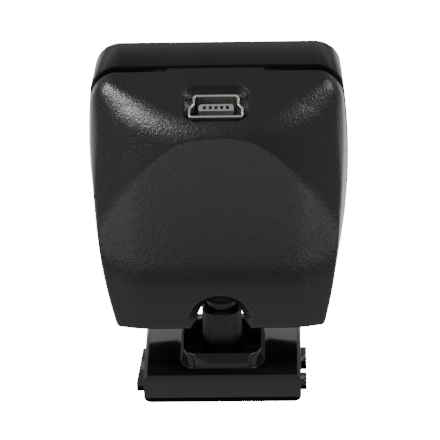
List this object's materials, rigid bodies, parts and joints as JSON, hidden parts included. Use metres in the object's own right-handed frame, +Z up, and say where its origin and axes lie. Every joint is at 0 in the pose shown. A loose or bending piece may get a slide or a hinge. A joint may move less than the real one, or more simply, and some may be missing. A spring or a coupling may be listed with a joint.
{
  "type": "dash camera",
  "caption": "Small screenless dash camera: boxy two-shell head with a mini-USB socket on its sloping rear shelf, on a ball-jointed stalk and a slide-in foot.",
  "frame": {"origin": "centre of the foot's underside, on the surface that it stands on", "axes": "+Z up along the stalk, +Y the way the lens looks, +X to the right seen from behind"},
  "size_m": [0.0372, 0.0236, 0.0485],
  "materials": {
    "grained_black": "fine spark-eroded grain",
    "satin_black": "satin",
    "gloss_black": "smooth moulded gloss",
    "socket_steel": "drawn tin-plated steel",
    "screw_steel": "zinc plated",
    "contact_gold": "gold plated",
    "board_green": "solder resist",
    "chip_black": "epoxy moulding",
    "insert_grey": "glass-filled moulding",
    "lens_glass": "coated glass",
    "window_glass": "hard-coated window",
    "filter_glass": "infra-red filter glass",
    "barrel_black": "black anodised",
    "seal_rubber": "matte",
    "spreader_aluminium": "rolled",
    "pad_grey": "soft gap pad",
    "flex_amber": "polyimide film",
    "cell_silver": "foil pouch",
    "light_pipe": "moulded clear",
    "ball_black": "polished acetal",
    "liner_grey": "low-friction moulding"
  },
  "bodies": {
    "foot": {"foot_shell": "gloss_black", "foot_plate": "satin_black", "stalk": "satin_black", "stalk_screw": "screw_steel"},
    "ball": {"ball": "ball_black"},
    "liner": {"socket_liner": "liner_grey"},
    "button": {"record_button": "gloss_black", "switch_plunger": "insert_grey"},
    "card": {"memory_card": "chip_black"},
    "head": {"rear_housing": "grained_black", "front_cover": "satin_black", "usb_shell": "socket_steel", "usb_tongue": "insert_grey", "usb_contacts": "contact_gold", "port_board": "board_green", "board_connector": "insert_grey", "lens_ring": "gloss_black", "lens_window": "window_glass", "lens_seal": "seal_rubber", "lens_barrel": "barrel_black", "front_lens": "lens_glass", "rear_lens": "lens_glass", "lens_holder": "chip_black", "ir_filter": "filter_glass", "image_sensor": "chip_black", "main_board": "board_green", "board_screws": "screw_steel", "processor": "chip_black", "thermal_pad": "pad_grey", "heat_spreader": "spreader_aluminium", "memory_chip": "chip_black", "power_coil": "chip_black", "card_socket": "socket_steel", "button_board": "board_green", "button_board_screws": "screw_steel", "button_switch": "chip_black", "status_led": "light_pipe", "status_light_pipe": "light_pipe", "microphone": "socket_steel", "flex_cable": "flex_amber", "speaker": "chip_black", "backup_cell": "cell_silver", "cell_tape": "pad_grey", "socket_cup": "liner_grey", "socket_clamp": "liner_grey", "socket_screws": "screw_steel"}
  },
  "joints": [
    {"name": "pan", "type": "hinge", "parent": "foot", "child": "ball", "pos_m": [0, 0, 0.0174], "axis": [0, 0, 1], "continuous": true},
    {"name": "tilt", "type": "hinge", "parent": "ball", "child": "liner", "pos_m": [0, 0, 0.0174], "axis": [1, 0, 0], "range_deg": [-12, 40]},
    {"name": "roll", "type": "hinge", "parent": "liner", "child": "head", "pos_m": [0, 0, 0.0174], "axis": [0, 1, 0], "range_deg": [-2, 2]},
    {"name": "button_press", "type": "slide", "parent": "head", "child": "button", "axis": [0, -1, 0], "range_m": [0, 0.00035], "stiffness_N_per_m": 600},
    {"name": "card_slide", "type": "slide", "parent": "head", "child": "card", "axis": [-1, 0, 0], "range_m": [0, 0.014]}
  ]
}
